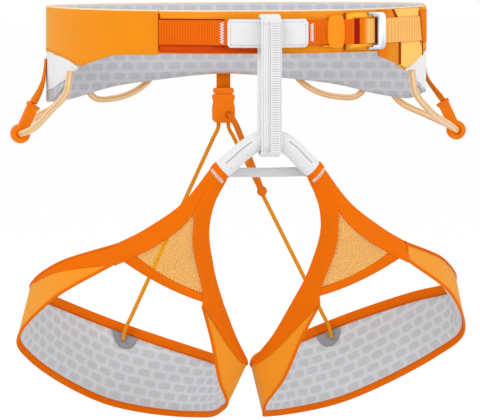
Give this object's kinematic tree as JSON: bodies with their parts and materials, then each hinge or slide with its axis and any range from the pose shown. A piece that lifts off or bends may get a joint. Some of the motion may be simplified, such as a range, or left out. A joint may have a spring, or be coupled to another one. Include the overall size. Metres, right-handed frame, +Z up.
{
  "type": "climbing harness",
  "caption": "Padded sit harness with waist belt and buckle, belay loop, paired leg loops with elastic risers and gear loops, worn for rock climbing.",
  "frame": {"origin": "middle of the waist ring at the height of the load webbing", "axes": "+Z up along the wearer's body, the wearer faces -Y, +X to the side of the waist buckle"},
  "size_m": [0.3934, 0.2265, 0.3533],
  "materials": {
    "orange_webbing": "woven, matt",
    "red_webbing": "woven, matt",
    "pale_webbing": "woven, matt",
    "white_fabric": "woven, matt",
    "grey_lining": "soft spacer mesh",
    "dark_patch": "woven, matt",
    "elastic_cord": "braided",
    "clear_tube": "satin tube",
    "orange_plastic": "moulded, satin",
    "orange_rubber": "satin",
    "gold_metal": "anodised",
    "silver_metal": "satin"
  },
  "bodies": {
    "waist_belt": {"belt_lining": "grey_lining", "belt_shell": "orange_webbing", "hip_panel_left": "white_fabric", "hip_panel_right": "white_fabric", "front_tongue": "red_webbing", "load_webbing": "red_webbing", "tie_in_sleeve": "white_fabric", "rubber_keeper": "orange_rubber", "buckle_base": "gold_metal", "buckle_pin_lower": "silver_metal", "buckle_pin_upper": "silver_metal", "strap_tail": "pale_webbing", "elastic_keeper": "orange_webbing", "hanger_strap_left": "orange_webbing", "hanger_strap_right": "orange_webbing", "riser_webbing": "elastic_cord", "clip_male": "orange_plastic", "clip_body": "orange_plastic", "pull_tail": "elastic_cord", "riser_cord_left": "elastic_cord", "riser_cord_right": "elastic_cord"},
    "belay_loop": {"belay_loop": "white_fabric"},
    "leg_loops": {"leg_tie_in_arch": "white_fabric", "leg_bridge_strap": "white_fabric", "leg_shell_left": "orange_webbing", "leg_lining_left": "grey_lining", "riser_tab_left": "dark_patch", "leg_strap_outer_left": "orange_webbing", "leg_strap_inner_left": "orange_webbing", "leg_mesh_left": "orange_webbing", "leg_cross_band_left": "orange_webbing", "leg_shell_right": "orange_webbing", "leg_lining_right": "grey_lining", "riser_tab_right": "dark_patch", "leg_strap_outer_right": "orange_webbing", "leg_strap_inner_right": "orange_webbing", "leg_mesh_right": "orange_webbing", "leg_cross_band_right": "orange_webbing"},
    "buckle_frame": {"buckle_frame": "silver_metal"},
    "front_gear_loop_left": {"front_gear_loop_left": "clear_tube", "hanger_ring_left": "orange_plastic"},
    "front_gear_loop_right": {"front_gear_loop_right": "clear_tube", "hanger_ring_right": "orange_plastic"},
    "rear_gear_loop_left": {"rear_gear_loop_left": "clear_tube"},
    "rear_gear_loop_right": {"rear_gear_loop_right": "clear_tube"},
    "clip_arm_left": {"clip_arm_left": "orange_plastic"},
    "clip_arm_right": {"clip_arm_right": "orange_plastic"}
  },
  "joints": [
    {"name": "belay_loop_swing", "type": "hinge", "parent": "waist_belt", "child": "belay_loop", "pos_m": [0, -0.1112, 0.0118], "axis": [1, 0, 0], "range_deg": [-10, 0], "stiffness_Nm_per_rad": 1.5, "springref_deg": 3.9, "deforming": ["riser_cord_left", "riser_cord_right"]},
    {"name": "leg_loops_swing", "type": "hinge", "parent": "belay_loop", "child": "leg_loops", "pos_m": [0, -0.112, -0.09065], "axis": [1, 0, 0], "range_deg": [-18, 25], "stiffness_Nm_per_rad": 1, "springref_deg": 5.61, "deforming": ["riser_cord_left", "riser_cord_right"]},
    {"name": "buckle_frame_tilt", "type": "hinge", "parent": "waist_belt", "child": "buckle_frame", "pos_m": [0.09209, -0.07728, -0.001], "axis": [0, 0, -1], "range_deg": [0, 30]},
    {"name": "front_gear_loop_left_lift", "type": "hinge", "parent": "waist_belt", "child": "front_gear_loop_left", "pos_m": [-0.14485, 0.03286, -0.043], "axis": [0.1678, 0.9749, -0.146], "range_deg": [0, 25], "stiffness_Nm_per_rad": 0.08, "springref_deg": 1.2, "deforming": ["hanger_strap_left"]},
    {"name": "front_gear_loop_right_lift", "type": "hinge", "parent": "waist_belt", "child": "front_gear_loop_right", "pos_m": [0.13624, 0.01923, -0.043], "axis": [-0.0093, -0.9933, 0.1152], "range_deg": [0, 25], "stiffness_Nm_per_rad": 0.08, "springref_deg": 1.6, "deforming": ["hanger_strap_right"]},
    {"name": "rear_gear_loop_left_swing", "type": "hinge", "parent": "waist_belt", "child": "rear_gear_loop_left", "pos_m": [-0.09067, 0.09218, -0.037], "axis": [0.9742, 0.2241, 0.0282], "range_deg": [0, 60]},
    {"name": "rear_gear_loop_right_swing", "type": "hinge", "parent": "waist_belt", "child": "rear_gear_loop_right", "pos_m": [0.09067, 0.09218, -0.037], "axis": [0.9742, -0.2241, -0.0282], "range_deg": [0, 60]},
    {"name": "clip_arm_left_squeeze", "type": "hinge", "parent": "waist_belt", "child": "clip_arm_left", "pos_m": [-0.00545, 0.10105, -0.061], "axis": [0, -1, 0], "range_deg": [0, 10], "stiffness_Nm_per_rad": 0.02},
    {"name": "clip_arm_right_squeeze", "type": "hinge", "parent": "waist_belt", "child": "clip_arm_right", "pos_m": [0.00545, 0.10105, -0.061], "axis": [0, 1, 0], "range_deg": [0, 10], "stiffness_Nm_per_rad": 0.02}
  ],
  "couplings": [
    {"joint": "clip_arm_right_squeeze", "follows": "clip_arm_left_squeeze", "ratio": 1}
  ]
}
